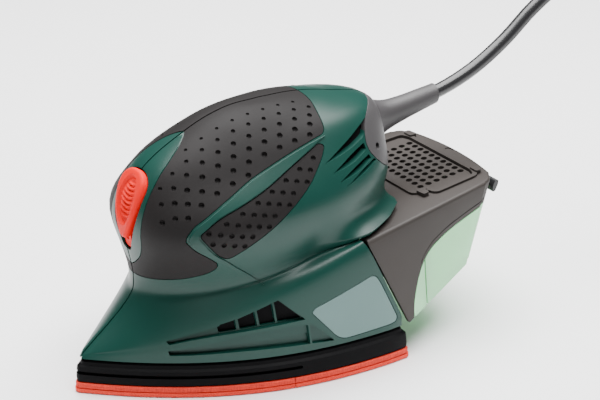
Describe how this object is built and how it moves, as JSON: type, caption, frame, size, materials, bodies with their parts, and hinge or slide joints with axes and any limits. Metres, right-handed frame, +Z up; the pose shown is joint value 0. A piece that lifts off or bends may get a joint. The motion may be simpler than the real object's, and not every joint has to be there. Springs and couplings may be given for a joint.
{
  "type": "detail sander",
  "caption": "Corded palm sander with an iron-shaped orbiting foot, a bulb-shaped grip over an upright motor, a slide switch at the nose and a clip-on dust box.",
  "frame": {"origin": "on the motor's axis, on the underside of the rear sanding sheet", "axes": "+X towards the pointed nose, +Y to the tool's left side, +Z up out of the grip"},
  "size_m": [0.4633, 0.1128, 0.1382],
  "materials": {
    "green_plastic": "satin",
    "soft_grip": "matte, dimpled",
    "red_plastic": "gloss",
    "grey_rubber": "matte",
    "dark_plastic": "matte",
    "black_plastic": "satin",
    "cover_plastic": "fine grained",
    "clear_green": "clear, tinted",
    "plate_grey": "satin",
    "abrasive_red": "coated grit",
    "hook_red": "hook and loop",
    "steel": "machined",
    "copper": "enamelled wire",
    "brass": "satin",
    "lamination": "stacked sheet",
    "carbon": "pressed carbon",
    "pale_plastic": "matte",
    "filter_paper": "pleated paper",
    "lead_black": "gloss"
  },
  "bodies": {
    "housing": {"housing_left": "green_plastic", "housing_right": "green_plastic", "grip_top_left": "soft_grip", "grip_top_right": "soft_grip", "grip_side_left": "soft_grip", "grip_side_right": "soft_grip", "name_plate_left": "plate_grey", "name_plate_right": "plate_grey", "cord_sleeve": "grey_rubber", "post_front_left": "grey_rubber", "post_front_right": "grey_rubber", "post_rear_left": "grey_rubber", "post_rear_right": "grey_rubber", "switch_module": "dark_plastic", "base_plate": "dark_plastic", "bearing_bridge": "dark_plastic", "dust_duct": "dark_plastic", "cord_clamp": "dark_plastic", "bearing_lower": "steel", "bearing_upper": "steel", "housing_screw_nose": "steel", "housing_screw_rear": "steel", "housing_screw_top": "steel", "clamp_screw_left": "steel", "clamp_screw_right": "steel", "plug_pin_left": "steel", "plug_pin_right": "steel", "capacitor": "pale_plastic", "stator_core": "lamination", "field_coil_left": "copper", "field_coil_right": "copper", "brush_holder_front": "brass", "brush_holder_rear": "brass", "brush_front": "carbon", "brush_rear": "carbon", "mains_cord": "lead_black", "cord_coil": "lead_black", "mains_plug": "lead_black"},
    "rotor": {"rotor_shaft": "steel", "rotor_core": "lamination", "rotor_winding_lower": "copper", "rotor_winding_upper": "copper", "commutator": "copper", "dust_fan": "dark_plastic", "cooling_fan": "pale_plastic", "eccentric": "steel"},
    "platen": {"platen": "black_plastic", "hook_pad_front": "hook_red", "hook_pad_rear": "hook_red", "sheet_front": "abrasive_red", "sheet_rear": "abrasive_red", "bearing_platen": "steel"},
    "switch": {"switch_slider": "red_plastic", "switch_link": "grey_rubber"},
    "dust_box": {"dustbox_cover": "cover_plastic"},
    "bin": {"dust_bin": "clear_green", "box_seal": "dark_plastic"},
    "filter": {"filter_grille": "cover_plastic", "filter_element": "filter_paper"},
    "latch": {"box_latch": "dark_plastic"}
  },
  "joints": [
    {"name": "motor_spin", "type": "hinge", "parent": "housing", "child": "rotor", "pos_m": [0, 0, 0], "axis": [0, 0, 1], "continuous": true},
    {"name": "platen_orbit", "type": "hinge", "parent": "rotor", "child": "platen", "pos_m": [0.0008, 0, 0], "axis": [0, 0, 1], "continuous": true},
    {"name": "switch_slide", "type": "hinge", "parent": "housing", "child": "switch", "pos_m": [0.0143, 0, 0.0658], "axis": [0, 1, 0], "range_deg": [0, 5.8]},
    {"name": "box_off", "type": "slide", "parent": "housing", "child": "dust_box", "axis": [-1, 0, 0], "range_m": [0, 0.06]},
    {"name": "bin_off", "type": "slide", "parent": "dust_box", "child": "bin", "axis": [0, 0, -1], "range_m": [0, 0.012]},
    {"name": "filter_lift", "type": "slide", "parent": "dust_box", "child": "filter", "axis": [0, 0, 1], "range_m": [0, 0.012]},
    {"name": "latch_flex", "type": "hinge", "parent": "dust_box", "child": "latch", "pos_m": [-0.1065, 0, 0.0565], "axis": [0, -1, 0], "range_deg": [0, 18], "stiffness_Nm_per_rad": 0.1}
  ],
  "couplings": [
    {"joint": "platen_orbit", "follows": "motor_spin", "ratio": -1}
  ]
}
